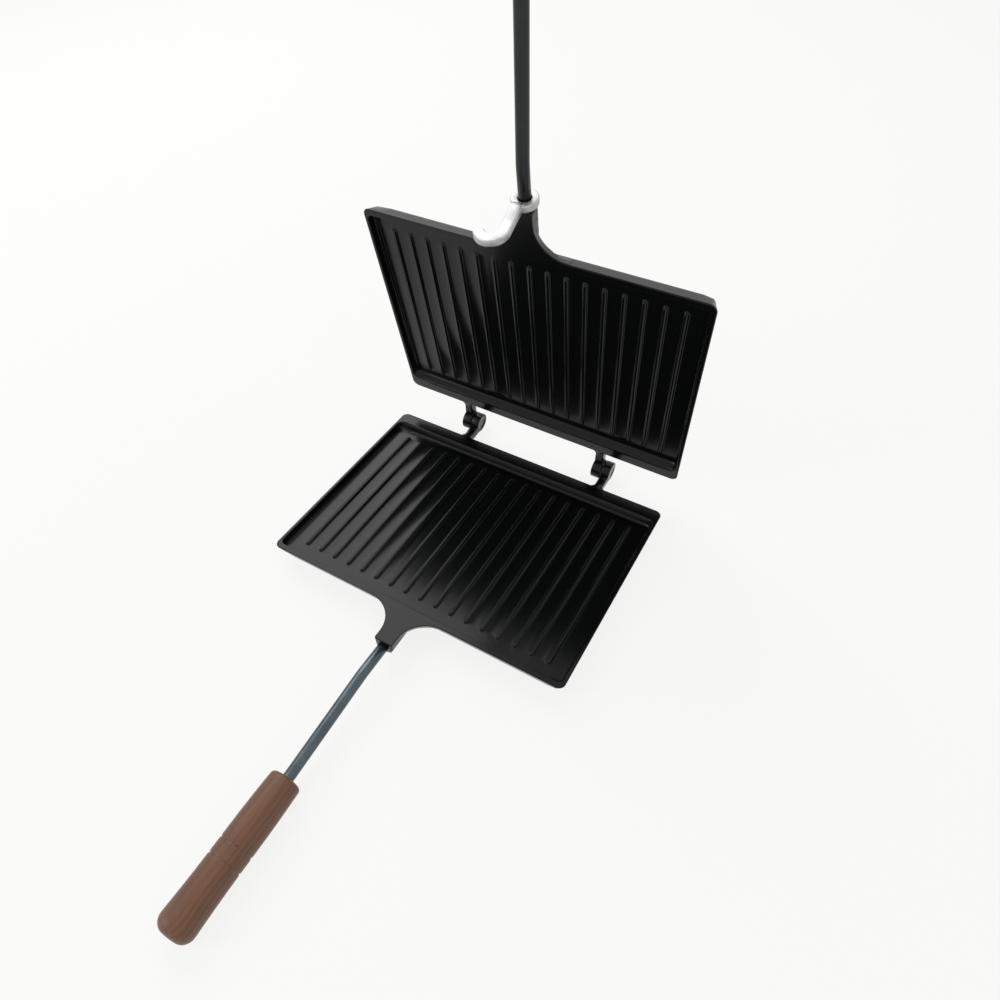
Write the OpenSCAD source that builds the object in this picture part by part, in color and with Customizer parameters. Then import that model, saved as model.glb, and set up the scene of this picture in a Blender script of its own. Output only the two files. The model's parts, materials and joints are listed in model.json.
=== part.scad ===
// Pie iron: two ribbed cooking plates on a pair of cast hinges. Each plate is carried by a steel rod with a
// turned wooden grip, and a cast hook on the upper rod closes over the lower one.
//
// Plate frame, in which every piece is drawn: +X to the right, the hinge side of the plates at y = 0 and their
// handle side towards -Y, and z = 0 on the parting plane between the closed plates. A lower piece is drawn
// where it lies. An upper piece is drawn as a lower one, mirrored in the parting plane and swung open.
// Finished frame: the iron rests on z = 0 on the rear edge of its lower plate and on its lower grip, with the
// origin in the middle of the space that it takes up.

/* [Plates] */
// Width of each plate
plate_w = 250; // [200:1:320]
// Depth of each plate, from the hinge side to the handle side
plate_d = 188; // [150:1:240]
// Thickness of each plate, from the parting plane to its back
plate_t = 11.4; // [10.5:0.1:16]
// How far the outer walls lean in at the back of a plate
wall_draft = 4.6; // [3:0.1:5]
// Radius of the plate's corners at the parting plane
corner_r = 5.5; // [5.5:0.5:14]
// Gap between the two rims when the plates are closed
closing_gap = 0.4; // [0.3:0.1:1]

/* [Recess] */
// Depth of the recess below the rim
recess_depth = 6.4; // [5:0.1:8.5]
// How far the recess walls lean in at its floor
recess_draft = 1.3; // [1:0.1:4.8]
// Radius of the recess's corners at the rim
recess_corner_r = 5; // [5:0.5:12]
// Width of the rim along the two sides
side_rim = 2.5; // [2:0.1:8]
// Width of the rim along the handle side
front_rim = 4.8; // [4:0.1:10]
// Width of the rim along the hinge side
rear_rim = 12.1; // [8:0.1:16]

/* [Ribs] */
// Distance from one rib to the next
rib_pitch = 13.3; // [8:0.1:20]
// Radius of the half-round ribs
rib_r = 1.7; // [1:0.1:2.5]
// Least distance from the outermost ribs to the side walls of the recess
rib_side_gap = 5; // [3:0.5:10]
// Distance from the ribs to the wall on the hinge side
rib_rear_gap = 8.5; // [2:0.5:20]
// Distance from the ribs to the wall on the handle side
rib_front_gap = 11; // [2:0.5:20]

/* [Necks] */
// Length of the neck in front of the plate
neck_l = 30; // [26:1:45]
// Radius of the fillets between the neck and the plate
neck_fillet_r = 23; // [8:1:24]
// Metal around the rod in the neck
neck_wall = 3.5; // [2.5:0.1:5]
// Metal between the rod and the parting plane
rod_cover = 2.6; // [2.5:0.1:4]
// Length of the cone in which the neck's round boss runs out under the plate
boss_runout = 9; // [5:0.5:20]
// How far the end of that cone lies inside the plate's back
boss_bury = 0.2; // [0.1:0.1:1]

/* [Rods] */
// Diameter of the rods
rod_d = 8; // [6:0.5:10]
// Length of the rod inside the neck
rod_socket_l = 28; // [18:1:30]
// Length of the straight run from the neck to the first bend
rod_straight_l = 24; // [16:1:60]
// Length of the slanting run between the two bends
rod_slant_l = 76; // [30:1:160]
// Length of the run from the second bend to the grip
rod_end_l = 2.4; // [1:0.1:10]
// Radius of both bends at the rod's centre line
rod_bend_r = 40; // [20:1:80]
// Angle between the slanting run and the plate
slant_a = 6.2; // [4:0.1:10]
// Angle between the grip and the plate
grip_a = 2.1; // [0:0.1:4]
// Diameter of the pin that holds the rod in the neck
rod_pin_d = 3; // [2:0.1:3.5]
// Distance from the plate to that pin
rod_pin_y = 10; // [6:0.5:18]

/* [Grips] */
// Length of each grip
grip_l = 105; // [80:1:140]
// Diameter at the end that the rod enters
grip_start_d = 22; // [18:0.5:28]
// Diameter at the far end
grip_end_d = 24.5; // [20:0.5:32]
// How far the outline swells before the grooves and draws in behind them
grip_swell = 0.3; // [0:0.1:0.8]
// Radius of the rounding at the rod's end
grip_start_round = 2.5; // [1:0.5:5]
// Radius of the rounding at the far end
grip_end_round = 8; // [4:0.5:9]
// Distance from the rod's end to the first groove
groove_s = 48; // [20:1:60]
// Distance between the two grooves
groove_pitch = 10.5; // [4:0.5:16]
// Radius of the grooves
groove_r = 0.9; // [0.5:0.1:1.5]
// Length of the rod inside the grip
rod_in_grip = 74; // [40:1:74]
// Free depth of the bore beyond the rod
bore_spare = 2; // [1:0.5:5]

/* [Hinges] */
// Distance from the plates to the hinge axis
hinge_y = 22.5; // [18:0.5:32]
// Distance from one hinge to the other
hinge_pitch = 127; // [80:1:160]
// Diameter of the knuckles
knuckle_d = 17; // [11:0.1:20]
// Width of the upper plate's knuckles
upper_knuckle_w = 8.3; // [7:0.1:14]
// Width of the lower plate's knuckles
lower_knuckle_w = 7.5; // [7:0.1:16]
// Gap between the two knuckles of a hinge
knuckle_gap = 0.4; // [0.3:0.1:1]
// Width of the arm that carries each knuckle
arm_w = 7; // [5:0.1:7]
// Height of the arm where it leaves the plate
arm_h = 8.2; // [6:0.1:9]
// Distance from the rim down to the top of the arm
arm_drop = 0.6; // [0.3:0.1:1.5]
// Radius of the fillets between the arms and the plate
arm_fillet_r = 5; // [2:0.5:6]
// Diameter of the hinge pins
pin_d = 5; // [3:0.5:6]
// Running clearance around a pin in the upper knuckle
pin_clearance = 0.05; // [0.02:0.01:0.1]

/* [Hook] */
// Metal around the rod in the hook's ring
ring_wall = 4.6; // [2.5:0.1:5]
// Running clearance around the rod in the ring
ring_clearance = 0.08; // [0.02:0.01:0.1]
// Thickness of the hook along the rod
hook_t = 4.8; // [3:0.1:8]
// Gap between the hook and the neck
hook_gap = 0.4; // [0.3:0.1:2]
// Distance from the rod's axis to the middle of the slot
hook_reach = 29; // [24:0.5:40]
// Distance by which the slot lies to the left of the rod
hook_side = 6.5; // [3:0.5:8]
// Width of the band that forms the hook
hook_band = 7.2; // [3:0.1:8]
// Clearance around the lower rod in the slot
slot_clearance = 0.3; // [0.2:0.1:1]

/* [Lid] */
// Angle between the two plates, as the iron stands open
open_a = 74.5; // [60:0.5:100]

/* [Hidden] */

// Colours
casting_black = [0.11, 0.12, 0.12];
steel = [0.42, 0.45, 0.46];
bright_metal = [0.82, 0.83, 0.82];
wood = [0.50, 0.34, 0.27];

// Number of segments in a full turn, on round surfaces and inside hulls
fine = 96;
coarse = 32;
// Reach of a cut beyond the surface that it opens
past = 5;
// How far the rod's straight runs reach into its bends, and how much thicker those are
lap = rod_d / 16;
bend_swell = rod_d / 400;

rim_z = -closing_gap / 2;
rod_r = rod_d / 2;
rod_z = -(rod_cover + rod_r);
boss_r = rod_r + neck_wall;
neck_end_y = -(plate_d + neck_l);
knuckle_r = knuckle_d / 2;
ring_r = rod_r + ring_wall;
slot_r = rod_r + slot_clearance;
hook_r = slot_r + hook_band;
grip_start_r = grip_start_d / 2;
grip_end_r = grip_end_d / 2;

// Floor of the recess
floor_z = rim_z - recess_depth;
floor_w = plate_w - 2 * (side_rim + recess_draft);
floor_rear_y = -(rear_rim + recess_draft);
floor_front_y = -(plate_d - front_rim - recess_draft);
ribs_per_side = floor((floor_w / 2 - rib_side_gap - rib_r) / rib_pitch);

// Lean of the outer walls for each millimetre of depth
wall_slope = wall_draft / (plate_t + rim_z);

// Points and headings along the rod's centre line, as [y, z, angle below the parting plane]
function run(from, l) = [from[0] - l * cos(from[2]), from[1] - l * sin(from[2]), from[2]];
function turn(from, a) = [
    from[0] - rod_bend_r * abs(sin(from[2] + a) - sin(from[2])),
    from[1] - rod_bend_r * abs(cos(from[2] + a) - cos(from[2])),
    from[2] + a
];
rod_start = [neck_end_y + rod_socket_l, rod_z, 0];
bend_1 = run(rod_start, rod_socket_l + rod_straight_l);
slant = turn(bend_1, slant_a);
bend_2 = run(slant, rod_slant_l);
rod_end = turn(bend_2, grip_a - slant_a);
grip_start = run(rod_end, rod_end_l);
grip_end = run(grip_start, grip_l);

// Outline of the grip: its radius at distance s from the rod's end, and the whole half outline
grip_body_l = grip_l - grip_end_round;
function grip_r(s) = grip_start_r + (grip_end_r - grip_start_r) * s / grip_body_l
    + grip_swell * sin(360 * s / grip_body_l);
start_round_r = grip_r(grip_start_round) - grip_start_round;
grip_steps = 16;
round_steps = 6;
grip_outline = concat(
    [[0, 0]],
    [for (i = [0 : round_steps]) let (a = 90 * i / round_steps)
        [start_round_r + grip_start_round * sin(a), grip_start_round * (1 - cos(a))]],
    [for (i = [1 : grip_steps]) let (s = grip_start_round + (grip_body_l - grip_start_round) * i / grip_steps)
        [grip_r(s), s]],
    [for (i = [1 : round_steps]) let (a = 90 * i / round_steps)
        [grip_end_r + grip_end_round * (cos(a) - 1), grip_body_l + grip_end_round * sin(a)]],
    [[0, grip_l]]
);

// The iron rests on the line from the rear edge of the plate's back to the rounding of the grip's far end.
// That line touches the circle whose middle is grip_pad, seen from the left.
rest_edge = [-wall_draft, -plate_t];
grip_shoulder = run(grip_start, grip_body_l);
pad_drop = grip_end_r - grip_end_round;
grip_pad = [grip_shoulder[0] + pad_drop * sin(grip_a), grip_shoulder[1] - pad_drop * cos(grip_a)];
to_pad = [rest_edge[0] - grip_pad[0], rest_edge[1] - grip_pad[1]];
rest_a = atan2(to_pad[1], to_pad[0]) + asin(grip_end_round / norm(to_pad));

// Place of the finished frame's origin in the plate frame, after the iron is tilted by rest_a
function tilted_y(p) = p[0] * cos(rest_a) + p[1] * sin(rest_a);
function tilted_z(p) = p[1] * cos(rest_a) - p[0] * sin(rest_a);
rear_y = tilted_y([hinge_y, 0]) + knuckle_r;
front_y = tilted_y(grip_end);
origin_y = (rear_y + front_y) / 2;
origin_z = tilted_z(rest_edge);

// Places that join the two halves to the finished frame
module resting() {
    translate([0, -origin_y, -origin_z]) rotate([-rest_a, 0, 0]) children();
}

module opened() {
    translate([0, hinge_y, 0]) rotate([-open_a, 0, 0]) translate([0, -hinge_y, 0]) children();
}

module as_upper() {
    resting() opened() mirror([0, 0, 1]) children();
}

// Moves to a point of the rod's centre line, with -Y along the rod
module at_rod(p) {
    translate([0, p[0], p[1]]) rotate([p[2], 0, 0]) children();
}

// Round bar from the origin along -Y. It starts by lap before the origin and goes on by lap beyond its length.
module bar(r, l, lap_before = 0, lap_after = 0) {
    translate([0, lap_before, 0])
        rotate([90, 0, 0]) cylinder(r = r, h = l + lap_before + lap_after, $fn = fine);
}

// Bend of the rod from the origin along -Y, down by angle a, or up where a is negative. It is a hair thicker
// than the straight runs, whose ends lie inside it.
module bend(a) {
    mirror([0, 0, a < 0 ? 1 : 0])
        translate([0, 0, -rod_bend_r])
            rotate([0, -90, 180])
                rotate_extrude(angle = abs(a), $fn = fine)
                    translate([rod_bend_r, 0]) circle(rod_r + bend_swell, $fn = fine);
}

// Block below z with its rear edge at y, whose walls lean in by draft at its bottom
module drafted_block(w, d, h, draft, r, y, z) {
    hull()
        for (x = [-1, 1], corner_y = [y - r, y - d + r])
            translate([x * (w / 2 - r), corner_y, z - h])
                cylinder(r1 = r - draft, r2 = r, h = h, $fn = coarse);
}

module plate_block() {
    drafted_block(plate_w, plate_d, plate_t + rim_z, wall_draft, corner_r, 0, rim_z);
}

// The cut starts above the rim, so its walls are carried up at the same lean
module recess() {
    rise = past * recess_draft / recess_depth;
    drafted_block(
        plate_w - 2 * side_rim + 2 * rise,
        plate_d - front_rim - rear_rim + 2 * rise,
        recess_depth + past,
        recess_draft + rise,
        recess_corner_r + rise,
        rise - rear_rim,
        rim_z + past
    );
}

// Rib along Y with round ends, half sunk in the recess floor
module rib(l) {
    rotate([90, 0, 0])
        rotate_extrude($fn = coarse)
            intersection() {
                union() {
                    translate([0, rib_r]) circle(rib_r, $fn = coarse);
                    translate([0, rib_r]) square([rib_r, l - 2 * rib_r]);
                    translate([0, l - rib_r]) circle(rib_r, $fn = coarse);
                }
                square([rib_r, l]);
            }
}

module ribs() {
    rear_end = floor_rear_y - rib_rear_gap;
    for (i = [-ribs_per_side : ribs_per_side])
        translate([i * rib_pitch, rear_end, floor_z])
            rib(rear_end - floor_front_y - rib_front_gap);
}

// Neck around the rod, flat at the parting plane and round below, with a boss that runs out under the plate
module neck() {
    root_y = -(plate_d - wall_draft);
    translate([-boss_r, neck_end_y, rod_z])
        cube([2 * boss_r, root_y - neck_end_y, rim_z - rod_z]);
    translate([0, root_y, rod_z]) bar(boss_r, root_y - neck_end_y);
    runout_r = min(boss_r, plate_t + rod_z) - boss_bury;
    translate([0, root_y, rod_z])
        rotate([-90, 0, 0]) cylinder(r1 = boss_r, r2 = runout_r, h = boss_runout, $fn = fine);
}

// Web on both sides of the neck, hollowed by cones that follow the lean of the plate's wall
module neck_web() {
    web_h = rim_z - rod_z;
    centre_x = boss_r + neck_fillet_r;
    r_at_rim = neck_fillet_r;
    difference() {
        translate([-centre_x, -(plate_d + neck_fillet_r), rod_z])
            cube([2 * centre_x, neck_fillet_r + wall_draft, web_h]);
        for (x = [-1, 1])
            translate([x * centre_x, -(plate_d + neck_fillet_r), rod_z - past])
                cylinder(
                    r1 = r_at_rim + (web_h + past) * wall_slope,
                    r2 = r_at_rim - past * wall_slope,
                    h = web_h + 2 * past,
                    $fn = fine
                );
    }
}

// Arm and knuckle of one hinge. The knuckle reaches w away from the origin along +X, and the arm is flush with
// its far end.
module lug(w) {
    rotate([0, 90, 0]) translate([0, hinge_y, 0]) cylinder(r = knuckle_r, h = w, $fn = fine);
    translate([w - arm_w, 0, 0])
        intersection() {
            lug_plan();
            lug_side();
        }
}

// Arm seen from above, with a fillet on both sides where it leaves the plate
module lug_plan() {
    root_w = arm_w + 2 * arm_fillet_r;
    translate([0, 0, -plate_t])
        linear_extrude(2 * plate_t) {
            translate([0, -wall_draft]) square([arm_w, wall_draft + hinge_y]);
            difference() {
                translate([-arm_fillet_r, -wall_draft]) square([root_w, wall_draft + arm_fillet_r]);
                for (x = [-arm_fillet_r, arm_w + arm_fillet_r])
                    translate([x, arm_fillet_r]) circle(arm_fillet_r, $fn = fine);
            }
        }
}

// Arm seen from the side, from the plate's wall to the middle of the knuckle
module lug_side() {
    top_z = rim_z - arm_drop;
    reach = arm_w + 2 * arm_fillet_r;
    end_top_z = 0.1 * knuckle_r;
    end_low_z = -0.95 * knuckle_r;
    translate([-reach, 0, 0])
        rotate([90, 0, 90])
            linear_extrude(3 * reach)
                polygon([
                    [-wall_draft, top_z],
                    [arm_fillet_r, top_z],
                    [hinge_y - 0.8 * knuckle_r, end_top_z],
                    [hinge_y, end_top_z],
                    [hinge_y, end_low_z],
                    [-wall_draft, top_z - arm_h]
                ]);
}

// One cast plate. At each hinge the lug starts at lug_x and reaches lug_w along the side given by way.
module casting(lug_x, lug_w, way, pin_bore_r) {
    difference() {
        union() {
            difference() {
                union() {
                    plate_block();
                    neck();
                    neck_web();
                }
                recess();
            }
            ribs();
            for (side = [-1, 1])
                translate([side * hinge_pitch / 2 + lug_x, 0, 0])
                    mirror([way < 0 ? 1 : 0, 0, 0]) lug(lug_w);
        }
        at_rod([neck_end_y - past, rod_z, 180]) bar(rod_r, rod_socket_l + past);
        rod_pin_shape(past);
        for (side = [-1, 1])
            translate([side * hinge_pitch / 2 + lug_x, hinge_y, 0])
                rotate([0, 90 * way, 0])
                    translate([0, 0, -past]) cylinder(r = pin_bore_r, h = lug_w + 2 * past, $fn = fine);
    }
}

module lower_plate() {
    color(casting_black) resting() casting(knuckle_gap / 2, lower_knuckle_w, 1, pin_d / 2);
}

module upper_plate() {
    color(casting_black)
        as_upper() casting(-knuckle_gap / 2, upper_knuckle_w, -1, pin_d / 2 + pin_clearance);
}

// Pin through both knuckles of a hinge, flush with their outer faces
module hinge_pin(side) {
    start_x = side * hinge_pitch / 2 - knuckle_gap / 2 - upper_knuckle_w;
    pin_l = upper_knuckle_w + knuckle_gap + lower_knuckle_w;
    color(steel)
        resting()
            translate([start_x, hinge_y, 0])
                rotate([0, 90, 0]) cylinder(r = pin_d / 2, h = pin_l, $fn = fine);
}

module hinge_pin_left() {
    hinge_pin(-1);
}

module hinge_pin_right() {
    hinge_pin(1);
}

// Pin pressed through the neck's boss into the rod. It starts by extra below the boss.
module rod_pin_shape(extra) {
    pin_l = boss_r + rod_r / 2;
    translate([0, -(plate_d + rod_pin_y), rod_z - boss_r - extra])
        cylinder(r = rod_pin_d / 2, h = pin_l + extra, $fn = fine);
}

module rod_shape() {
    difference() {
        union() {
            at_rod(rod_start) bar(rod_r, rod_socket_l + rod_straight_l, 0, lap);
            at_rod(bend_1) bend(slant_a);
            at_rod(slant) bar(rod_r, rod_slant_l, lap, lap);
            at_rod(bend_2) bend(grip_a - slant_a);
            at_rod(rod_end) bar(rod_r, rod_end_l + rod_in_grip, lap);
        }
        rod_pin_shape(0);
    }
}

module lower_rod() {
    color(steel) resting() rod_shape();
}

module upper_rod() {
    color(steel) as_upper() rod_shape();
}

module lower_rod_pin() {
    color(steel) resting() rod_pin_shape(-rod_pin_d / 4);
}

module upper_rod_pin() {
    color(steel) as_upper() rod_pin_shape(-rod_pin_d / 4);
}

// Turned grip with two grooves and a blind bore for the rod
module grip_shape() {
    at_rod(grip_start)
        rotate([90, 0, 0])
            difference() {
                rotate_extrude($fn = fine) polygon(grip_outline);
                translate([0, 0, -past])
                    cylinder(r = rod_r, h = rod_in_grip + bore_spare + past, $fn = fine);
                for (s = [groove_s, groove_s + groove_pitch])
                    rotate_extrude($fn = fine) translate([grip_r(s), s]) circle(groove_r, $fn = coarse);
            }
}

module lower_grip() {
    color(wood) resting() grip_shape();
}

module upper_grip() {
    color(wood) as_upper() grip_shape();
}

// Outline of the hook as seen along the rod from the handles, with the rod's axis at the origin. The stem
// runs from the ring to the right side of the slot, and the hook's tip ends by tip_a below the slot's middle.
module hook_outline() {
    inner = hook_side - slot_r;
    outer = hook_side - hook_r;
    mid_r = slot_r + hook_band / 2;
    tip_a = 45;
    circle(ring_r, $fn = fine);
    polygon([
        [-hook_band, 0],
        [hook_band / 4, 0],
        [-outer, -hook_reach],
        [-inner, -hook_reach]
    ]);
    translate([-hook_side, -hook_reach]) {
        difference() {
            circle(hook_r, $fn = fine);
            circle(slot_r, $fn = fine);
            rotate(tip_a) translate([-hook_r, 0]) square(2 * hook_r);
        }
        rotate(tip_a) translate([-mid_r, 0]) circle(hook_band / 2, $fn = fine);
    }
}

// The slot lies towards the lower rod, so the outline points at +Z before an upper piece is mirrored
module latch_hook() {
    blend_r = 2.5;
    color(bright_metal)
        as_upper()
            translate([0, neck_end_y - hook_gap, rod_z])
                rotate([90, 0, 0])
                    difference() {
                        mirror([0, 1, 0])
                            linear_extrude(hook_t)
                                offset(r = -blend_r) offset(r = blend_r) hook_outline($fn = coarse);
                        translate([0, 0, -past])
                            cylinder(r = rod_r + ring_clearance, h = hook_t + 2 * past, $fn = fine);
                    }
}

lower_plate();
upper_plate();
hinge_pin_left();
hinge_pin_right();
lower_rod();
upper_rod();
lower_rod_pin();
upper_rod_pin();
lower_grip();
upper_grip();
latch_hook();
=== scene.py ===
"""Pie iron, standing open on a white table: two coated castings on a pair of hinges, each with a steel rod
and a turned wooden grip, and a bright cast hook on the upper rod.

Each piece is drawn in the plate frame, in millimetres: +X to the right, the hinge side of the plates at y = 0
and their handle side towards -Y, and z = 0 on the parting plane between the closed plates. stand() then puts
it where it lies on the open iron.
"""

import json
import math

import bmesh
import bpy
import numpy as np
from mathutils import Matrix, Vector


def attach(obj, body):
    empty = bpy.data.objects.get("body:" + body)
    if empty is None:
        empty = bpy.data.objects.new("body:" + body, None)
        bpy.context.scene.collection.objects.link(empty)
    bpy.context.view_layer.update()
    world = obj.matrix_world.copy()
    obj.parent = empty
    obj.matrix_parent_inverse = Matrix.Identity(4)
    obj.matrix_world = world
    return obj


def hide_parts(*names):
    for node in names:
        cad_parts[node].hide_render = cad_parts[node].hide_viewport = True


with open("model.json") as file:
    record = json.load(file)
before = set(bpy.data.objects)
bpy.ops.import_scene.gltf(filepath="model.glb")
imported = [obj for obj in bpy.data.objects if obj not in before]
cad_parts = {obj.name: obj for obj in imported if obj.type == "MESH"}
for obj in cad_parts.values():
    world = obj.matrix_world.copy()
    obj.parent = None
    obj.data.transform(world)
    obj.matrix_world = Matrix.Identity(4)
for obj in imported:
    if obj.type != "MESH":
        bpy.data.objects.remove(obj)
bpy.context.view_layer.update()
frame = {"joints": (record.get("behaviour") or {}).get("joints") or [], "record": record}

# ---------------------------------------------------------------- Camera
# The camera stands at the front right of the iron and looks down on it. The picture is cut out of a larger
# one, so the middle of the lens isn't the middle of the frame, and the camera is shifted to match.
camera_spot = Vector((0.18638, -0.20414, 0.45897))
camera_heading = Vector((-0.34703, 0.51034, -0.78684))
camera_tilt = math.radians(-3.601)
sensor_mm = 36.0
lens_mm = 25.78
lens_shift = 0.0541, 0.0440
nearest_seen = 0.01

camera_data = bpy.data.cameras.new("camera")
camera_data.sensor_width = sensor_mm
camera_data.lens = lens_mm
camera_data.shift_x, camera_data.shift_y = lens_shift
camera_data.clip_start = nearest_seen
camera = bpy.data.objects.new("camera", camera_data)
bpy.context.scene.collection.objects.link(camera)
level_view = camera_heading.to_track_quat("-Z", "Y").to_matrix().to_4x4()
camera.matrix_world = Matrix.Translation(camera_spot) @ level_view @ Matrix.Rotation(camera_tilt, 4, "Z")
bpy.context.scene.camera = camera
bpy.context.scene.view_settings.view_transform = "Standard"


# ---------------------------------------------------------------- Table, backdrop and lamps
# The iron stands on a seamless white table in a white room, and the table keeps a faint shadow. A wide lamp
# hangs on the left behind the iron, and a smaller and weaker one on the left in front of it.
white = (0.985, 0.987, 0.968, 1.0)
table_grey = (0.9, 0.9, 0.9, 1)
table_half = 3.0
table_share = 0.86
room_light = 0.55


def new_node(tree, kind, **values):
    """A new node with the given input values."""
    node = tree.nodes.new(kind)
    for key, value in values.items():
        node.inputs[key.replace("_", " ")].default_value = value
    return node


def white_to_lens(tree, lit, plain, share, output):
    """Shows plain to the rays of the camera, mirrors and glass, and lit to all others: the largest of the
    three ray tests, times the share, mixes the two."""
    rays = tree.nodes.new("ShaderNodeLightPath")
    seen = rays.outputs["Is Camera Ray"]
    for test in ("Is Glossy Ray", "Is Transmission Ray"):
        either = tree.nodes.new("ShaderNodeMath")
        either.operation = "MAXIMUM"
        tree.links.new(seen, either.inputs[0])
        tree.links.new(rays.outputs[test], either.inputs[1])
        seen = either.outputs[0]
    part = tree.nodes.new("ShaderNodeMath")
    part.operation = "MULTIPLY"
    part.inputs[1].default_value = share
    tree.links.new(seen, part.inputs[0])
    mix = tree.nodes.new("ShaderNodeMixShader")
    for source, end in zip((part, lit, plain), mix.inputs):
        tree.links.new(source.outputs[0], end)
    tree.links.new(mix.outputs[0], tree.nodes.new(output).inputs["Surface"])


def make_table():
    """A flat square under the iron, white for the lens, with a share of real light so that shadows show."""
    x = np.array([-1, 1, 1, -1]) * table_half
    y = np.array([-1, -1, 1, 1]) * table_half
    mesh = bpy.data.meshes.new("table")
    mesh.from_pydata(np.stack([x, y, 0 * x], 1).tolist(), [], [(0, 1, 2, 3)])
    table = bpy.data.objects.new("table", mesh)
    bpy.context.scene.collection.objects.link(table)
    paint = bpy.data.materials.new("table_white")
    paint.use_nodes = True
    tree = paint.node_tree
    tree.nodes.clear()
    lit = new_node(tree, "ShaderNodeBsdfDiffuse", Color=table_grey)
    glow = new_node(tree, "ShaderNodeEmission", Color=white)
    white_to_lens(tree, lit, glow, table_share, "ShaderNodeOutputMaterial")
    mesh.materials.append(paint)


def make_room():
    """White all round for the lens and for reflections, and softer light for everything else."""
    room = bpy.data.worlds.new("room")
    bpy.context.scene.world = room
    room.use_nodes = True
    tree = room.node_tree
    tree.nodes.clear()
    soft = new_node(tree, "ShaderNodeBackground", Color=(1, 1, 1, 1), Strength=room_light)
    plain = new_node(tree, "ShaderNodeBackground", Color=white, Strength=1.0)
    white_to_lens(tree, soft, plain, 1.0, "ShaderNodeOutputWorld")


def hang_lamp(name, spot, aim, size, watts):
    """A square lamp at spot, size metres wide and turned towards aim."""
    data = bpy.data.lights.new(name, "AREA")
    data.size = size
    data.energy = watts
    lamp = bpy.data.objects.new(name, data)
    turn = (Vector(aim) - Vector(spot)).to_track_quat("-Z", "Y").to_matrix().to_4x4()
    lamp.matrix_world = Matrix.Translation(spot) @ turn
    bpy.context.scene.collection.objects.link(lamp)


make_table()
make_room()
hang_lamp("lamp_left", (-1.1, 0.85, 1.4), aim=(-0.05, 0.05, 0.05), size=1.3, watts=15)
hang_lamp("lamp_front", (-1.2, -1.0, 0.9), aim=(0, -0.1, 0.1), size=0.8, watts=7)


# ---------------------------------------------------------------- How the iron stands
# The open iron rests on the rear edge of its lower plate and on its lower grip, so the lower half is tilted
# up a little at the front. The upper half is the lower half's mirror image, swung open about the hinge pins.
MM = 0.001
joints = {joint["name"]: joint for joint in frame["joints"]}
hinge_spot = np.array(joints["lid_hinge"]["pos_m"])
hinge_y = 22.5
down = frame["record"]["mounts"][0]["axis"]
rest_tilt = math.atan2(-down[1], -down[2])
rod_heading = joints["hook_swing"]["axis"]
lid_tilt = math.atan2(rod_heading[2], -rod_heading[1])


def stand(points, upper):
    """Plate frame in mm to the standing iron in m: a mirror in z for the upper half, then a turn about the
    hinge."""
    x, y, z = np.moveaxis(np.asarray(points, float), -1, 0)
    z = -z if upper else z
    y = y - hinge_y
    a = lid_tilt if upper else rest_tilt
    turned_y = y * math.cos(a) + z * math.sin(a)
    turned_z = z * math.cos(a) - y * math.sin(a)
    return np.stack([x, turned_y, turned_z], -1) * MM + hinge_spot


# ---------------------------------------------------------------- Coated castings
# Each plate is one aluminium casting with its rim, ribs and neck, coated black against sticking. Every edge
# is rounded as a casting's is, and the outer walls lean in so that it comes out of its mould.
plate_w, plate_d, plate_t = 250.0, 188.0, 11.4
closing_gap = 0.4
wall_draft, corner_r, back_corner_r, rim_round = 4.6, 5.5, 4.1, 0.5
recess_depth, recess_draft, recess_corner_r = 6.4, 1.3, 5.0
side_rim, front_rim, rear_rim = 2.5, 4.8, 12.1
inner_round, rear_inner_round, inner_round_blend, floor_round = 0.35, 1.2, 6.0, 1.6
rib_pitch, rib_r, rib_foot = 13.3, 1.7, 0.6
rib_side_gap, rib_rear_gap, rib_front_gap = 5.0, 8.5, 11.0
neck_l, neck_fillet_r, neck_corner_r = 30.0, 23.0, 1.5
rod_r, rod_cover, neck_wall = 4.0, 2.6, 3.5
boss_runout, boss_inset, steepest = 9.0, 0.2, 14.0
back_round, web_blend, neck_blend = 0.9, 0.6, 1.6
no_round = 1e-9
least_line_gap, weld_gap = 0.045, 1e-6

half_w = plate_w / 2
rim_z = -closing_gap / 2
edge_z = rim_z - rim_round
rod_z = -(rod_cover + rod_r)
boss_r = rod_r + neck_wall
fillet_x = boss_r + neck_fillet_r
fillet_y = -(plate_d + neck_fillet_r)
neck_end_y = -(plate_d + neck_l)
floor_half_w = half_w - side_rim - recess_draft
ribs_per_side = int((floor_half_w - rib_side_gap - rib_r) // rib_pitch)
rib_x = np.arange(-ribs_per_side, ribs_per_side + 1) * rib_pitch
rib_rear_y = -(rear_rim + recess_draft + rib_rear_gap)
rib_front_y = -(plate_d - front_rim - recess_draft - rib_front_gap)


def ramp(t, h):
    """0 below -h, t above h, and a parabola between, so that two slopes meet in a round corner."""
    return np.where(t < -h, 0, np.where(t > h, t, (t + h) ** 2 / (4 * h)))


def round_min(a, b, r):
    """The smaller of two edge distances, with a corner of radius r where both are under r."""
    in_corner = (a < r) & (b < r)
    return np.where(in_corner, r - np.hypot(r - a, r - b), np.minimum(a, b))


def soft_min(a, b, k):
    """The smaller of two heights, blended over a band of width k."""
    h = np.clip(0.5 + 0.5 * (b - a) / k, 0, 1)
    return b + (a - b) * h - k * h * (1 - h)


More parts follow.
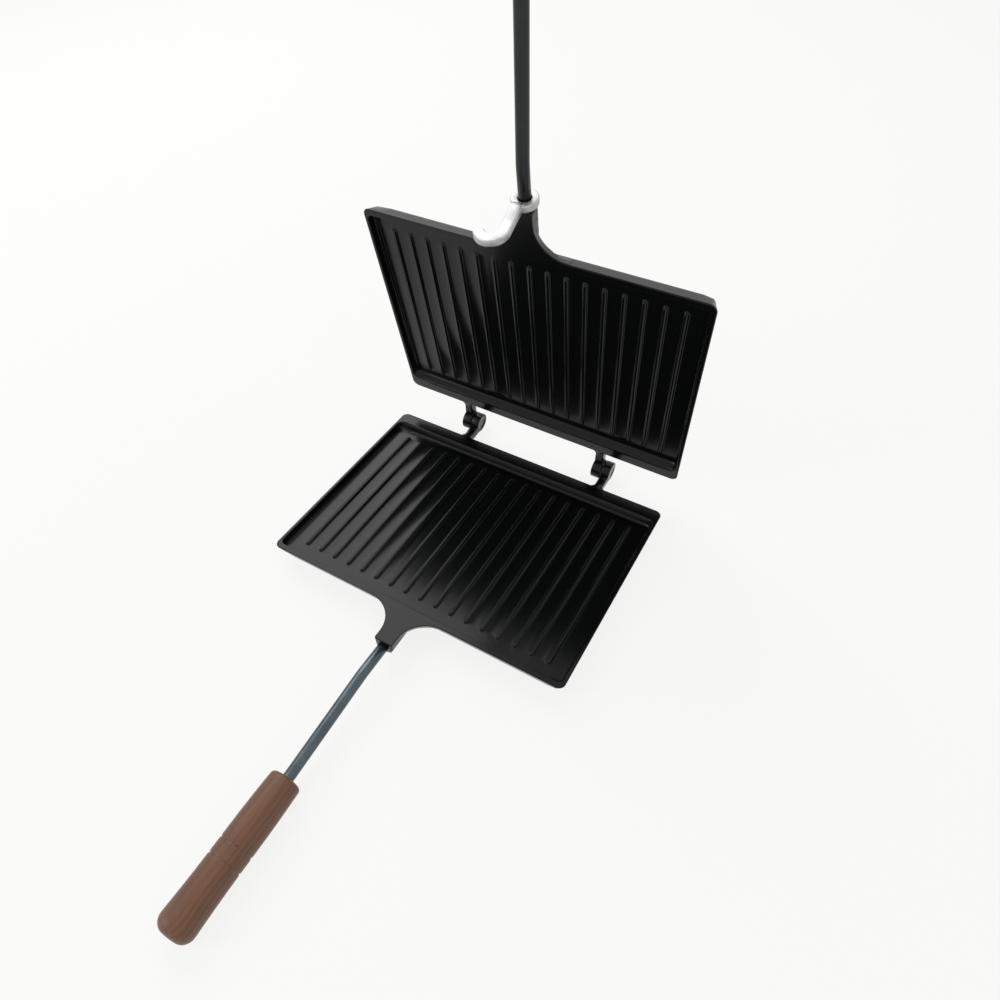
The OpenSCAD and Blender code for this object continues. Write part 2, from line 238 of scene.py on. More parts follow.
def plate_edge(x, y):
    """Distance inwards from the plate's own outline. Where it has grown to s times the draft, the corners
    have a radius of R - k s. That makes (A + m s)^2 + (B + m s)^2 = (R - k s)^2 there, with A and B the
    distances from the corner's middle and m the draft less k."""
    a = half_w - np.abs(x)
    b = np.minimum(-y, y + plate_d)
    k = corner_r - back_corner_r
    m = wall_draft - k
    square = 2 * m**2 - k**2
    line = m * (2 * corner_r - a - b) + k * corner_r
    rest = (corner_r - a) ** 2 + (corner_r - b) ** 2 - corner_r**2
    s = (np.sqrt(np.maximum(line**2 - square * rest, 0)) - line) / square
    near, far = np.minimum(a, b), np.maximum(a, b)
    return np.where(far < corner_r + m * near / wall_draft, s * wall_draft, near)


def casting_edge(x, y):
    """Distance inwards from the outline of plate and neck together, with the hollow fillets between them. The
    plate's corners are round, and those where the fillets start are left sharp."""
    across = np.abs(x)
    fillet = np.hypot(fillet_x - across, y - fillet_y) - neck_fillet_r
    neck = round_min(boss_r - across, y - neck_end_y, neck_corner_r)
    front = np.where(across >= fillet_x, y + plate_d, np.where(y > fillet_y, fillet, neck))
    side = np.where(y > -plate_d, half_w - across, front + corner_r)
    return round_min(side, np.minimum(-y, front), np.where(across > fillet_x, corner_r, no_round))


def rib_height(x, y):
    """Half-round ribs with round ends and a small hollow at the foot, as height over the recess floor."""
    beyond = np.maximum(np.maximum(y - (rib_rear_y - rib_r), (rib_front_y + rib_r) - y), 0)
    near = np.abs(x[..., None] - rib_x).min(-1)
    d = np.hypot(near, beyond)
    foot_x = math.sqrt((rib_r + rib_foot) ** 2 - rib_foot**2)
    meet = rib_r * foot_x / (rib_r + rib_foot)
    crown = np.sqrt(np.maximum(rib_r**2 - d**2, 0))
    foot = rib_foot - np.sqrt(np.maximum(rib_foot**2 - (foot_x - d) ** 2, 0))
    return np.where(d < meet, crown, np.where(d < foot_x, foot, 0))


def inner_face(x, y):
    """Height of the cooking side: the flat rim with its round edges, the steep walls, the floor and the ribs.
    The top of the wall is rounder on the hinge side."""
    edge = np.maximum(casting_edge(x, y), 0)
    rounding = rim_round - np.sqrt(np.maximum(rim_round**2 - np.maximum(rim_round - edge, 0) ** 2, 0))
    sides = half_w - side_rim - np.abs(x)
    rear, front = -y - rear_rim, y + plate_d - front_rim
    into = round_min(sides, np.minimum(rear, front), recess_corner_r)
    at_rear = np.clip((np.minimum(sides, front) - rear) / inner_round_blend, 0, 1)
    top_round = inner_round + (rear_inner_round - inner_round) * at_rear
    slope = recess_depth / recess_draft
    depth = slope * (ramp(into, top_round) - ramp(into - recess_draft, floor_round))
    return rim_z - rounding - depth + rib_height(x, y)


def outer_face(x, y):
    """Height of the back: the leaning walls, the flat back, the web beside the neck and its round boss. The
    boss is a half circle under the rod, rod_z - sqrt(r^2 - x^2), whose radius shrinks until it sinks into the
    back. Beside it, and at the outline, the surface is nearly upright."""
    edge = np.maximum(casting_edge(x, y), 0)
    plate = plate_edge(x, y)
    lean = (plate_t + edge_z) / wall_draft
    back = edge_z - lean * (plate - ramp(plate - wall_draft, back_round))
    web = np.maximum(rod_z, edge_z - lean * edge)
    root_y = -(plate_d - wall_draft)
    fade = np.clip((y - root_y) / boss_runout, 0, 1)
    round_r = boss_r - boss_inset - fade * (boss_r - (plate_t + rod_z))
    beside = np.maximum(np.abs(x) - round_r, 0)
    boss = rod_z - np.sqrt(np.maximum(round_r**2 - x**2, 0)) + steepest * beside
    at_neck = (np.abs(x) < fillet_x) & (y < root_y + boss_runout)
    neck = np.where(at_neck, soft_min(web, boss, web_blend), 0)
    return np.maximum(soft_min(back, neck, neck_blend), edge_z - steepest * edge)


def grid_lines():
    """Places of the grid's lines across and along the plate, close together at every edge, wall, rib and
    fillet, where the surface bends."""
    edge = [0, 0.04, 0.14, 0.3, 0.5]
    outer = [1.1, 1.7, 2.3, 2.9, 3.5, 3.9, 4.3, 4.7, 5.1, 5.5]
    wall = np.array([
        -0.35, -0.2, -0.05, 0.1, 0.22, 0.35, 0.55, 0.75, 0.95, 1.2, 1.5, 1.8, 2.1, 2.4, 2.65, 2.9, 3.3,
    ])
    rear_wall = np.array([-1.2, -1, -0.8, -0.6, -0.4])
    rib = np.array([0, 0.6, 1.15, 1.5, 1.7, 1.95, 2.25])
    rib = np.concatenate([-rib[:0:-1], rib, [rib_pitch / 2]])
    near_neck = fillet_x * (1 - np.array([0, 0.008, 0.02, 0.04, 0.067, 0.107, 0.15, 0.2, 0.25]))
    boss = np.arange(0, 20, 0.9)
    half = np.concatenate([half_w - np.concatenate([edge, outer, side_rim + wall]), near_neck, boss])
    xs = np.concatenate([half, -half, (rib_x[:, None] + rib).ravel()])
    xs = xs[np.abs(xs) <= half_w]
    rib_end = np.array([-0.6, -0.3, 0, 0.15, 0.4, 0.8, 1.3, 1.9, 2.6])
    rear_flat, rear_floor, front_floor, rib_l_lines, off_rib_end = [7, 9], [17], [9, 11], 12, 6
    ys = np.concatenate([
        -np.concatenate([edge, outer, rear_flat, rear_rim + rear_wall, rear_rim + wall, rear_floor]),
        rib_rear_y - rib_end,
        np.linspace(rib_rear_y - off_rib_end, rib_front_y + off_rib_end, rib_l_lines),
        rib_front_y + rib_end,
        np.concatenate([edge, outer, front_rim + wall, front_floor]) - plate_d,
    ])
    return tidy_lines(xs, fillet_x), tidy_lines(ys, plate_d - corner_r)


def tidy_lines(lines, keep):
    """Sorted lines without those that lie too close to the one before, except the one that must stay."""
    lines = np.unique(np.round(lines, 4))
    wide = np.concatenate([[True], np.diff(lines) > least_line_gap])
    return lines[wide | (np.abs(np.abs(lines) - keep) < 1e-4)]


def round_corners(x, y):
    """Moves the grid's corner squares onto quarter discs: a square point (a, b) goes to
    (a sqrt(1 - b^2 / 2), b sqrt(1 - a^2 / 2))."""
    middle_y = -plate_d / 2
    a = np.clip((np.abs(x) - (half_w - corner_r)) / corner_r, 0, 1)
    b = np.clip((np.abs(y - middle_y) - (plate_d / 2 - corner_r)) / corner_r, 0, 1)
    disc_a = a * np.sqrt(1 - b**2 / 2)
    disc_b = b * np.sqrt(1 - a**2 / 2)
    x = x + np.sign(x) * (disc_a - a) * corner_r
    y = y + np.sign(y - middle_y) * (disc_b - b) * corner_r
    return x, y


def neck_grid(xs):
    """Rows across the neck, from the plate's edge along the fillets to the rounded end."""
    arc = np.radians(np.linspace(0, 90, 15))
    row_y = fillet_y + neck_fillet_r * np.cos(arc)
    row_w = fillet_x - neck_fillet_r * np.sin(arc)
    straight = np.linspace(fillet_y, neck_end_y + neck_corner_r, 7)[1:-1]
    turn = np.radians(np.linspace(0, 90, 7))
    end_y = neck_end_y + neck_corner_r * (1 - np.sin(turn))
    end_w = boss_r - neck_corner_r * (1 - np.cos(turn))
    row_y = np.concatenate([row_y, straight, end_y])
    row_w = np.concatenate([row_w, np.full(len(straight), boss_r), end_w])
    share = xs[np.abs(xs) <= fillet_x + 1e-6] / fillet_x
    return row_w[:, None] * share, np.repeat(row_y[:, None], len(share), 1)


def sheet_faces(rows, cols):
    """Quads of a grid of rows by cols points."""
    corner = np.arange((rows - 1) * cols).reshape(rows - 1, cols)[:, :-1].ravel()
    return np.stack([corner, corner + 1, corner + 1 + cols, corner + cols], 1)


def closed_tube(rings, flip=False):
    """A stack of closed rings as a tube, with a fan at both ends. Returns its points and faces."""
    n, k, _ = rings.shape
    ends = np.stack([rings[0].mean(0), rings[-1].mean(0)])
    points = np.concatenate([rings.reshape(-1, 3), ends])
    i = np.arange(n - 1)[:, None] * k
    j = np.arange(k)[None, :]
    after = (j + 1) % k
    quads = np.stack([i + j, i + after, i + k + after, i + k + j], -1).reshape(-1, 4)
    j, after = j[0], after[0]
    start = np.stack([np.full(k, n * k), after, j], 1)
    stop = np.stack([np.full(k, n * k + 1), (n - 1) * k + j, (n - 1) * k + after], 1)
    faces = quads.tolist() + start.tolist() + stop.tolist()
    return points, [face[::-1] for face in faces] if flip else faces


def make_piece(name, parts, upper, body, nodes, paint):
    """Joins parts, each a pair of points and faces in the plate frame, into one smooth mesh on the standing
    iron. The upper half is a mirror image, so its faces are turned round."""
    points, faces, first = [], [], 0
    for part_points, part_faces in parts:
        points.append(part_points)
        faces += [[first + i for i in face] for face in part_faces]
        first += len(part_points)
    mesh = bpy.data.meshes.new(name)
    placed = stand(np.concatenate(points), upper)
    mesh.from_pydata(placed.tolist(), [], [face[::-1] for face in faces] if upper else faces)
    work = bmesh.new()
    work.from_mesh(mesh)
    bmesh.ops.remove_doubles(work, verts=work.verts, dist=weld_gap)
    work.to_mesh(mesh)
    work.free()
    mesh.shade_smooth()
    piece = bpy.data.objects.new(name, mesh)
    bpy.context.scene.collection.objects.link(piece)
    mesh.materials.append(paint)
    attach(piece, body)
    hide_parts(*nodes)


def casting_body():
    """The plate and its neck as one closed surface. The cooking side and the back stand on the same grid, and
    meet along the outline."""
    xs, ys = grid_lines()
    plate_x, plate_y = np.meshgrid(xs, ys[::-1])
    plate_x, plate_y = round_corners(plate_x, plate_y)
    neck_x, neck_y = neck_grid(xs)
    parts = []
    for x, y in ((plate_x, plate_y), (neck_x, neck_y)):
        for face, turned in ((inner_face, True), (outer_face, False)):
            points = np.stack([x, y, face(x, y)], -1)
            quads = sheet_faces(*x.shape)
            parts.append((points.reshape(-1, 3), (quads[:, ::-1] if turned else quads).tolist()))
    return parts


def rounded_box_ring(x0, x1, z0, z1, y, r=1.1, steps=4):
    """Ring of points round a rectangle in x and z, at depth y, with corners of radius r."""
    r = min(r, (x1 - x0) / 2.01, (z1 - z0) / 2.01)
    turns = np.radians(np.arange(4)[:, None] * 90 + np.linspace(0, 90, steps + 1))
    middle_x = np.array([x1 - r, x0 + r, x0 + r, x1 - r])[:, None]
    middle_z = np.array([z1 - r, z1 - r, z0 + r, z0 + r])[:, None]
    x = (middle_x + r * np.cos(turns)).ravel()
    z = (middle_z + r * np.sin(turns)).ravel()
    return np.stack([x, np.full_like(x, y), z], 1)


def turned_ring(profile, steps=64):
    """Carries a profile of (distance along the axis, radius) once round the X axis, as rings along it."""
    turn = np.radians(np.linspace(0, 360, steps, endpoint=False))
    along, r = np.asarray(profile, float).T
    y = r[:, None] * np.cos(turn)
    z = r[:, None] * np.sin(turn)
    return np.stack([np.repeat(along[:, None], steps, 1), y, z], -1)


# The hinge lugs are cast with the plates. Each is an arm that flares out of the plate's wall and ends in a
# knuckle drilled for the pin, flush with the arm on one side. In each pair, the upper plate's is on the left.
hinge_pitch, knuckle_r, knuckle_gap = 127.0, 8.5, 0.4
upper_knuckle_w, lower_knuckle_w = 8.3, 7.5
knuckle_round, bore_chamfer, bore_seen, bore_play = 0.9, 0.35, 0.6, 0.02
arm_w, arm_h, arm_drop, arm_fillet_r, arm_inset = 7.0, 8.2, 0.6, 5.0, 0.12
arm_level_y, arm_end_y, arm_end_top, arm_end_low = 15.7, 19.5, 0.85, -7.8
pin_r = 2.5


def knuckle(x0, w):
    """A drilled roller along X with rounded outer edges and a small chamfer at the bore, one closed ring."""
    turn = np.radians(np.linspace(0, 90, 6))[::-1]
    along = knuckle_round * (1 - np.sin(turn))
    rise = np.stack([along, knuckle_r - knuckle_round + knuckle_round * np.cos(turn)], 1)
    bore = [(bore_chamfer + bore_seen, pin_r + bore_play), (0, pin_r + bore_chamfer)]
    half = np.array(bore + rise.tolist())
    other = half[::-1] * [-1, 1] + [w, 0]
    profile = np.concatenate([half, other, half[:1]])
    rings = turned_ring(profile) + [x0, hinge_y, 0]
    n, k, _ = rings.shape
    i = np.arange(n - 1)[:, None] * k
    j = np.arange(k)[None, :]
    quads = np.stack([i + j, i + k + j, i + k + (j + 1) % k, i + (j + 1) % k], -1).reshape(-1, 4)
    return rings.reshape(-1, 3), quads.tolist()


def arm(x0):
    """A bar with rounded edges from inside the plate's wall into the knuckle. Its width follows a quarter
    circle where it leaves the plate: fillet - sqrt(fillet^2 - (fillet - y)^2)."""
    in_wall, past_fillet = [-5, -2.5], [8.5, 13, arm_end_y]
    in_fillet = arm_fillet_r * (1 - np.cos(np.radians(np.linspace(5, 90, 10))))
    y = np.concatenate([in_wall, in_fillet, past_fillet])
    rise = np.clip(arm_fillet_r - y, 0, arm_fillet_r)
    flare = arm_fillet_r - np.sqrt(arm_fillet_r**2 - rise**2)
    top = np.interp(y, [arm_fillet_r, arm_level_y], [rim_z - arm_drop, arm_end_top])
    low = np.interp(y, [-wall_draft, arm_end_y], [rim_z - arm_drop - arm_h, arm_end_low])
    near, far = x0 - flare, x0 + arm_w - arm_inset + flare
    rings = np.stack([rounded_box_ring(*row) for row in zip(near, far, low, top, y)])
    return closed_tube(rings, flip=True)


def lugs(x_from_middle, w, way):
    """Both lugs of one plate. way is the side on which they lie, seen from the middle of each hinge."""
    parts = []
    for side in (-1, 1):
        x0 = side * hinge_pitch / 2 + x_from_middle
        parts.append(knuckle(x0 if way > 0 else x0 - w, w))
        parts.append(arm(x0 + w - arm_w if way > 0 else x0 - w + arm_inset))
    return parts


def blank_paint(name):
    """A material with only a surface shader. Returns it with its node tree, the shader and the place on the
    object, which its patterns follow."""
    paint = bpy.data.materials.new(name)
    paint.use_nodes = True
    tree = paint.node_tree
    place = tree.nodes.new("ShaderNodeTexCoord").outputs["Object"]
    return paint, tree, tree.nodes["Principled BSDF"], place


def noise(tree, place, **values):
    """Cloudy noise at a place, from 0 to 1."""
    texture = new_node(tree, "ShaderNodeTexNoise", **values)
    tree.links.new(place, texture.inputs["Vector"])
    return texture.outputs["Fac"]


def vary_gloss(tree, surface, pattern, low, high):
    """Roughness that runs from low to high with the pattern."""
    dull = new_node(tree, "ShaderNodeMapRange", To_Min=low, To_Max=high)
    tree.links.new(pattern, dull.inputs["Value"])
    tree.links.new(dull.outputs["Result"], surface.inputs["Roughness"])


def roughen(tree, surface, pattern, strength, depth=0.0001):
    """Small bumps that follow the pattern, up to depth in metres."""
    bump = new_node(tree, "ShaderNodeBump", Strength=strength, Distance=depth)
    tree.links.new(pattern, bump.inputs["Height"])
    tree.links.new(bump.outputs["Normal"], surface.inputs["Normal"])


def coating():
    """Black coating sprayed on a sand-blasted casting: nearly black, satin, with a fine orange-peel surface
    and slightly duller patches."""
    paint, tree, surface, place = blank_paint("black_coating")
    surface.inputs["Base Color"].default_value = (0.0025, 0.003, 0.0032, 1)
    surface.inputs["IOR"].default_value = 1.3
    patches = noise(tree, place, Scale=22.0, Detail=4.0, Roughness=0.55)
    vary_gloss(tree, surface, patches, 0.17, 0.22)
    peel = noise(tree, place, Scale=900.0, Detail=3.0, Roughness=0.6)
    roughen(tree, surface, peel, 0.12)
    return paint


black_coating = coating()
make_piece(
    "lower_casting",
    casting_body() + lugs(knuckle_gap / 2, lower_knuckle_w, 1),
    False, "lower_half", ["lower_plate"], black_coating,
)
make_piece(
    "upper_casting",
    casting_body() + lugs(-knuckle_gap / 2, upper_knuckle_w, -1),
    True, "upper_half", ["upper_plate"], black_coating,
)


# ---------------------------------------------------------------- Hinge pins
# A plain steel pin goes through both knuckles of each hinge. Its ends are flush with the knuckles, rounded
# at the edge and faintly dented by the press that drove it in.
pin_colour, pin_roughness, stain_shade = (0.14, 0.15, 0.16), 0.42, 0.72
pin_play = 0.03


def two_tone(tree, pattern, low, dark, high, light):
    """A colour that runs from dark, where the pattern is low or less, to light, where it is high or more."""
    shade = tree.nodes.new("ShaderNodeValToRGB")
    ends = shade.color_ramp.elements
    ends[0].position, ends[0].color = low, (*dark, 1)
    ends[1].position, ends[1].color = high, (*light, 1)
    tree.links.new(pattern, shade.inputs["Fac"])
    return shade.outputs["Color"]


def dull_steel(name, colour, roughness):
    """Drawn steel that has gone dull: metal with faint cloudy stains and a fine grain."""
    paint, tree, surface, place = blank_paint(name)
    surface.inputs["Metallic"].default_value = 1.0
    stains = noise(tree, place, Scale=60.0, Detail=5.0, Roughness=0.6)
    stained = [stain_shade * c for c in colour]
    tree.links.new(two_tone(tree, stains, 0.3, stained, 0.7, colour), surface.inputs["Base Color"])
    vary_gloss(tree, surface, stains, roughness - 0.06, roughness + 0.08)
    grain = noise(tree, place, Scale=1500.0, Detail=2.0)
    roughen(tree, surface, grain, 0.15)
    return paint


def pin_rings(l, r, dome=0.25, edge=0.35):
    """Profile of a round pin, carried round its axis along X: a nearly flat end with a faint dent half way
    out, and an edge that is a quarter of an ellipse, dome + edge long and edge high."""
    turn = np.radians(np.linspace(0, 90, 5))
    along = dome + edge * (1 - np.cos(turn)) - dome * np.cos(turn)
    dent = [[0, 0.3], [dome * 0.3, r * 0.5]]
    start = np.concatenate([dent, np.stack([along, r - edge + edge * np.sin(turn)], 1)])
    stop = start[::-1] * [-1, 1] + [l, 0]
    return turned_ring(np.concatenate([start, stop]), 48)


pin_steel = dull_steel("pin_steel", pin_colour, pin_roughness)
pin_l = upper_knuckle_w + knuckle_gap + lower_knuckle_w
for side, word in ((-1, "left"), (1, "right")):
    pin_x = side * hinge_pitch / 2 - knuckle_gap / 2 - upper_knuckle_w
    rings = pin_rings(pin_l, pin_r - pin_play) + [pin_x, hinge_y, 0]
    make_piece(f"pin_{word}", [closed_tube(rings, flip=True)], False, "lower_half",
               [f"hinge_pin_{word}"], pin_steel)


# ---------------------------------------------------------------- Rods
# Each rod is round steel bar. It leaves the neck in the middle, bends away from the other rod and bends back
# just before the grip, so that a hand fits round each grip when the iron is closed. The upper rod is the same
# steel, painted darker than the lower one as painted shade.
rod_socket_l, rod_straight_l, rod_slant_l, rod_end_l = 28.0, 24.0, 76.0, 2.4
rod_bend_r, slant_a, grip_a = 40.0, 6.2, 2.1
rod_in_grip = 74.0
# The lower rod has the steel's own colour; the upper rod's is the same steel darkened with painted shade.
rod_colour_and_painted_shade = {"lower": (0.10, 0.125, 0.14), "upper": (0.042, 0.044, 0.046)}
rod_roughness = 0.30
halves = (("lower", False), ("upper", True))


def rod_path():
    """Points and headings along the rod's middle: straight runs joined by arcs of radius rod_bend_r. Returns
    the stations as (y, z, angle below the parting plane), and the one where the grip starts."""
    y, z, a = neck_end_y + rod_socket_l, rod_z, 0.0
    stations = [(y, z, a)]

    def run(l):
        nonlocal y, z
        y, z = y - l * math.cos(a), z - l * math.sin(a)
        stations.append((y, z, a))

    def bend(angle, steps=10):
        nonlocal y, z, a
        start = a
        for i in range(1, steps + 1):
            b = start + angle * i / steps
            y -= rod_bend_r * abs(math.sin(b) - math.sin(a))
            z -= rod_bend_r * abs(math.cos(b) - math.cos(a))
            a = b
            stations.append((y, z, a))

    run(rod_socket_l + rod_straight_l)
    bend(math.radians(slant_a))
    run(rod_slant_l)
    bend(math.radians(grip_a - slant_a))
    run(rod_end_l)
    grip_start = stations[-1]
    run(rod_in_grip)
    return np.array(stations), grip_start


def rod_rings(stations, steps=40):
    """A circle of the rod's radius carried along the stations, square to the heading at each."""
    turn = np.radians(np.linspace(0, 360, steps, endpoint=False))
    y, z, a = stations.T[..., None]
    x = np.broadcast_to(rod_r * np.cos(turn), (len(stations), steps))
    out = rod_r * np.sin(turn)
    return np.stack([x, y + out * np.sin(a), z - out * np.cos(a)], -1)


stations, grip_start = rod_path()
for half, upper in halves:
    make_piece(f"rod_of_{half}_half", [closed_tube(rod_rings(stations))], upper, f"{half}_half",
               [f"{half}_rod"], dull_steel(f"rod_steel_{half}", rod_colour_and_painted_shade[half], rod_roughness))


# ---------------------------------------------------------------- Rod pins
# A short steel pin is pressed through the outer side of each neck into the rod. Only its round end shows.
rod_pin_r, rod_pin_y = 1.5, 10.0
rod_pin_dome, rod_pin_round = 0.15, 0.2

for half, upper in halves:
    along_x = pin_rings(boss_r + rod_r / 2, rod_pin_r - pin_play, rod_pin_dome, rod_pin_round)
    x, y, z = np.moveaxis(along_x, -1, 0)
    rings = np.stack([y, z - (plate_d + rod_pin_y), x + rod_z - boss_r + rod_pin_dome], -1)
    make_piece(f"pin_of_{half}_neck", [closed_tube(rings)], upper, f"{half}_half",
               [f"{half}_rod_pin"], pin_steel)


# ---------------------------------------------------------------- Grips
# The grips are turned from reddish brown hardwood and thinly varnished, with two fine grooves near the
# middle. The rod is glued into a blind hole in the end grain.
grip_l, grip_start_r, grip_end_r, grip_swell = 105.0, 11.0, 12.25, 0.3
grip_start_round, grip_end_round = 2.5, 8.0
groove_s, groove_pitch, groove_depth, groove_w = 48.0, 10.5, 0.55, 0.6
grip_bore_seen, grip_bore_play, grip_bore_lip = 9.0, 0.1, 0.5
end_inset, cap_inset, cap_r = 0.05, 0.03, 0.8
grain_run, grain_drop, grain_stretch = 100.0, 3.7, 0.06
wood_dark, wood_light = (0.165, 0.070, 0.034), (0.205, 0.090, 0.046)
cloud_dark, cloud_light = (0.55, 0.5, 0.48), (1.1, 1.08, 1.05)
pore_dark, pore_light = (0.35, 0.3, 0.28), (1, 1, 1)


def grip_profile():
    """Half outline of the grip as (distance from its start, radius): a rounded start, a long S-shaped swell
    that is one period of a sine, two bell-shaped grooves and a domed end."""
    body_l = grip_l - grip_end_round
    s = np.linspace(grip_start_round, body_l, 60)
    near_groove = np.linspace(-1.6, 1.6, 15)
    s = np.unique(np.concatenate([s, groove_s + near_groove, groove_s + groove_pitch + near_groove]))
    swell = grip_swell * np.sin(2 * math.pi * s / body_l)
    r = grip_start_r + (grip_end_r - grip_start_r) * s / body_l + swell
    for middle in (groove_s, groove_s + groove_pitch):
        r = r - groove_depth * np.exp(-(((s - middle) / groove_w) ** 2))
    turn = np.radians(np.linspace(0, 90, 9))
    start_s = grip_start_round * (1 - np.cos(turn[:-1]))
    start_r = r[0] - grip_start_round + grip_start_round * np.sin(turn[:-1])
    end_s = body_l + (grip_end_round - end_inset) * np.sin(turn[1:])
    end_r = grip_end_r - grip_end_round + grip_end_round * np.cos(turn[1:])
    bore_s = [grip_bore_seen, grip_bore_lip, end_inset]
    bore_r = [rod_r + grip_bore_play, rod_r + grip_bore_play, rod_r + grip_bore_lip]
    along = np.concatenate([bore_s, start_s, s, end_s, [grip_l - cap_inset]])
    radius = np.concatenate([bore_r, start_r, r, end_r, [cap_r]])
    return np.stack([along, radius], 1)


def grip_rings():
    """The outline carried round the rod's last run, from where the grip starts."""
    along, y, z = np.moveaxis(turned_ring(grip_profile(), 96), -1, 0)
    start_y, start_z, a = grip_start
    return np.stack([
        y,
        start_y - along * math.cos(a) + z * math.sin(a),
        start_z - along * math.sin(a) - z * math.cos(a),
    ], -1)


def varnished_wood(name, upper):
    """Straight-grained hardwood: growth rings as warped bands round the grip's own axis, long pores as dark
    streaks, and a thin satin varnish. The pattern is turned until its Z axis runs along the grip."""
    paint, tree, surface, place = blank_paint(name)
    y, z, _ = grip_start
    start, end = stand([(0, y, z), (0, y - grain_run, z - grain_drop)], upper)
    turn = Vector(end - start).normalized().to_track_quat("Z", "X").inverted().to_euler()
    to_start = -(turn.to_matrix() @ Vector(start))
    along = new_node(tree, "ShaderNodeMapping", Rotation=turn, Location=to_start)
    stretch = new_node(tree, "ShaderNodeMapping", Scale=(1, 1, grain_stretch), Location=(0.031, 0.017, 0))
    tree.links.new(place, along.inputs["Vector"])
    tree.links.new(along.outputs["Vector"], stretch.inputs["Vector"])
    grain = stretch.outputs["Vector"]
    rings = new_node(tree, "ShaderNodeTexWave", Scale=95.0, Distortion=7.0, Detail=3.0, Detail_Scale=1.4)
    rings.wave_type = "RINGS"
    rings.rings_direction = "Z"
    tree.links.new(grain, rings.inputs["Vector"])
    clouds = noise(tree, grain, Scale=70.0, Detail=3.0)
    pores = noise(tree, grain, Scale=900.0, Detail=3.0, Roughness=0.6)
    colour = two_tone(tree, rings.outputs["Fac"], 0, wood_dark, 1, wood_light)
    for tone, share in (
        (two_tone(tree, clouds, 0.3, cloud_dark, 0.65, cloud_light), 0.6),
        (two_tone(tree, pores, 0.36, pore_dark, 0.5, pore_light), 0.35),
    ):
        shaded = new_node(tree, "ShaderNodeMixRGB", Fac=share)
        shaded.blend_type = "MULTIPLY"
        tree.links.new(colour, shaded.inputs["Color1"])
        tree.links.new(tone, shaded.inputs["Color2"])
        colour = shaded.outputs["Color"]
    tree.links.new(colour, surface.inputs["Base Color"])
    surface.inputs["Roughness"].default_value = 0.44
    roughen(tree, surface, pores, 0.12)
    return paint


for half, upper in halves:
    make_piece(f"grip_of_{half}_half", [closed_tube(grip_rings())], upper, f"{half}_half",
               [f"{half}_grip"], varnished_wood(f"wood_{half}", upper))


# ---------------------------------------------------------------- Hook
# The hook is a small bare aluminium casting. Its ring runs on the upper rod, a stem leads down from it, and a
# round band at the stem's end, a little over a third of a circle, takes the lower rod.
ring_r, ring_bore_r, hook_t, hook_gap = 8.6, 4.08, 4.8, 0.4
hook_reach, hook_side, hook_band, slot_r = 29.0, 6.5, 7.2, 4.3
hook_tip_a = math.radians(45)
stem_top, stem_flare = (-2.0, -5.2), 0.9
hook_round = 0.9


def hook_stations():
    """Middle line and half width of the stem and band, in the hook's own plane with the rod at the origin: a
    straight stem, wider at the ring by a cube law, an arc down to the tip's angle and a rounded tip."""
    band_r = slot_r + hook_band / 2
    middle = np.array([-hook_side, -hook_reach])
    top = np.array(stem_top)
    joint = middle + [band_r, 0]
    s = np.linspace(0, 1, 12)[:-1, None]
    stem = top + (joint - top) * s
    stem_w = hook_band / 2 + stem_flare * (1 - s[:, 0]) ** 3
    turn = np.linspace(0, hook_tip_a - math.pi, 34)
    band = middle + band_r * np.stack([np.cos(turn), np.sin(turn)], 1)
    band_w = np.full(len(turn), hook_band / 2)
    tip = np.radians(np.linspace(10, 88, 8))
    ahead = np.array([-math.sin(hook_tip_a), math.cos(hook_tip_a)])
    tip_line = band[-1] + hook_band / 2 * np.sin(tip)[:, None] * ahead
    tip_w = hook_band / 2 * np.cos(tip)
    return np.concatenate([stem, band, tip_line]), np.concatenate([stem_w, band_w, tip_w])


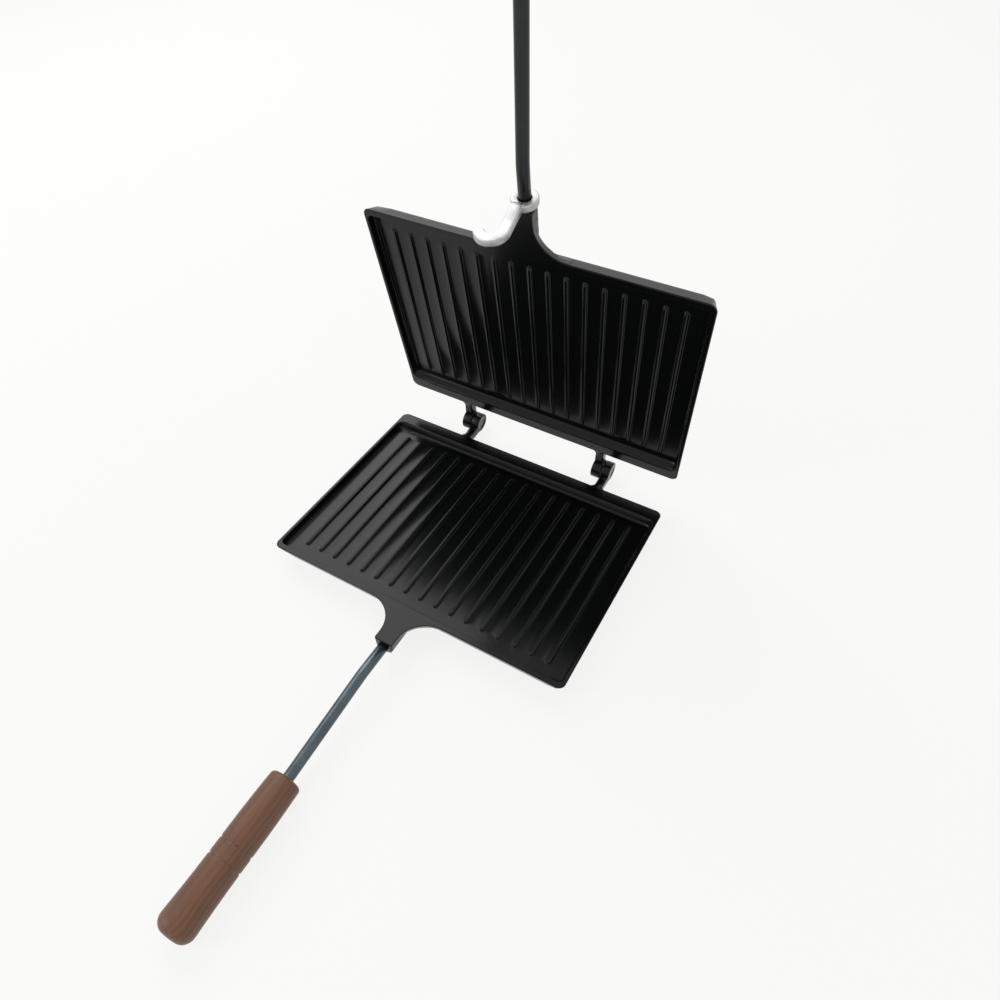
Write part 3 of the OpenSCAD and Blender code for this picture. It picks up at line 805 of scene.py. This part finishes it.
def hook_band_rings():
    """A rounded rectangle, hook_t thick, carried along the middle line."""
    line, half_width = hook_stations()
    ahead = np.gradient(line, axis=0)
    ahead /= np.linalg.norm(ahead, axis=1)[:, None]
    side = np.stack([-ahead[:, 1], ahead[:, 0]], 1)
    rings = []
    for point, across, w in zip(line, side, half_width):
        r = min(hook_round, 0.95 * w)
        ring = rounded_box_ring(-w, w, -hook_t / 2, hook_t / 2, 0, r)
        place = point + ring[:, :1] * across
        rings.append(np.stack([place[:, 0], ring[:, 2], place[:, 1]], 1))
    return np.stack(rings)


def hook_ring_rings():
    """The ring round the rod: a rectangle with rounded corners carried round the rod's axis."""
    outer = rounded_box_ring(ring_bore_r, ring_r, -hook_t / 2, hook_t / 2, 0, hook_round)
    turn = np.radians(np.linspace(0, 360, 72, endpoint=False))[:, None]
    r, along = outer[:, 0], outer[:, 2]
    return np.stack([r * np.cos(turn), along + 0 * turn, r * np.sin(turn)], -1)


def loop_faces(rings):
    """Quads of a stack of closed rings whose last ring joins its first."""
    n, k, _ = rings.shape
    i = np.arange(n)[:, None]
    j = np.arange(k)[None, :]
    after_i, after_j = (i + 1) % n, (j + 1) % k
    quads = np.stack([i * k + j, after_i * k + j, after_i * k + after_j, i * k + after_j], -1)
    return rings.reshape(-1, 3), quads.reshape(-1, 4).tolist()


def bare_aluminium():
    """Tumbled cast aluminium: bright, rather rough metal with a fine grain and a few darker pits."""
    paint, tree, surface, place = blank_paint("bare_aluminium")
    surface.inputs["Metallic"].default_value = 1.0
    surface.inputs["Roughness"].default_value = 0.5
    clouds = noise(tree, place, Scale=120.0, Detail=3.0)
    colour = two_tone(tree, clouds, 0.25, (0.36, 0.36, 0.365), 0.6, (0.55, 0.55, 0.55))
    tree.links.new(colour, surface.inputs["Base Color"])
    grain = noise(tree, place, Scale=700.0, Detail=4.0, Roughness=0.65)
    roughen(tree, surface, grain, 0.3, 0.0002)
    return paint


hook_middle = [0, neck_end_y - hook_gap - hook_t / 2, -rod_z]
band_points, band_faces = closed_tube(hook_band_rings())
ring_points, ring_faces = loop_faces(hook_ring_rings())
to_lower_frame = np.array([1, 1, -1])
hook_parts = [
    ((band_points + hook_middle) * to_lower_frame, band_faces),
    ((ring_points + hook_middle) * to_lower_frame, ring_faces),
]
make_piece("hook", hook_parts, True, "hook", ["latch_hook"], bare_aluminium())


def plain(box):
    """The box as lists of numbers."""
    return [[float(value) for value in corner] for corner in box]
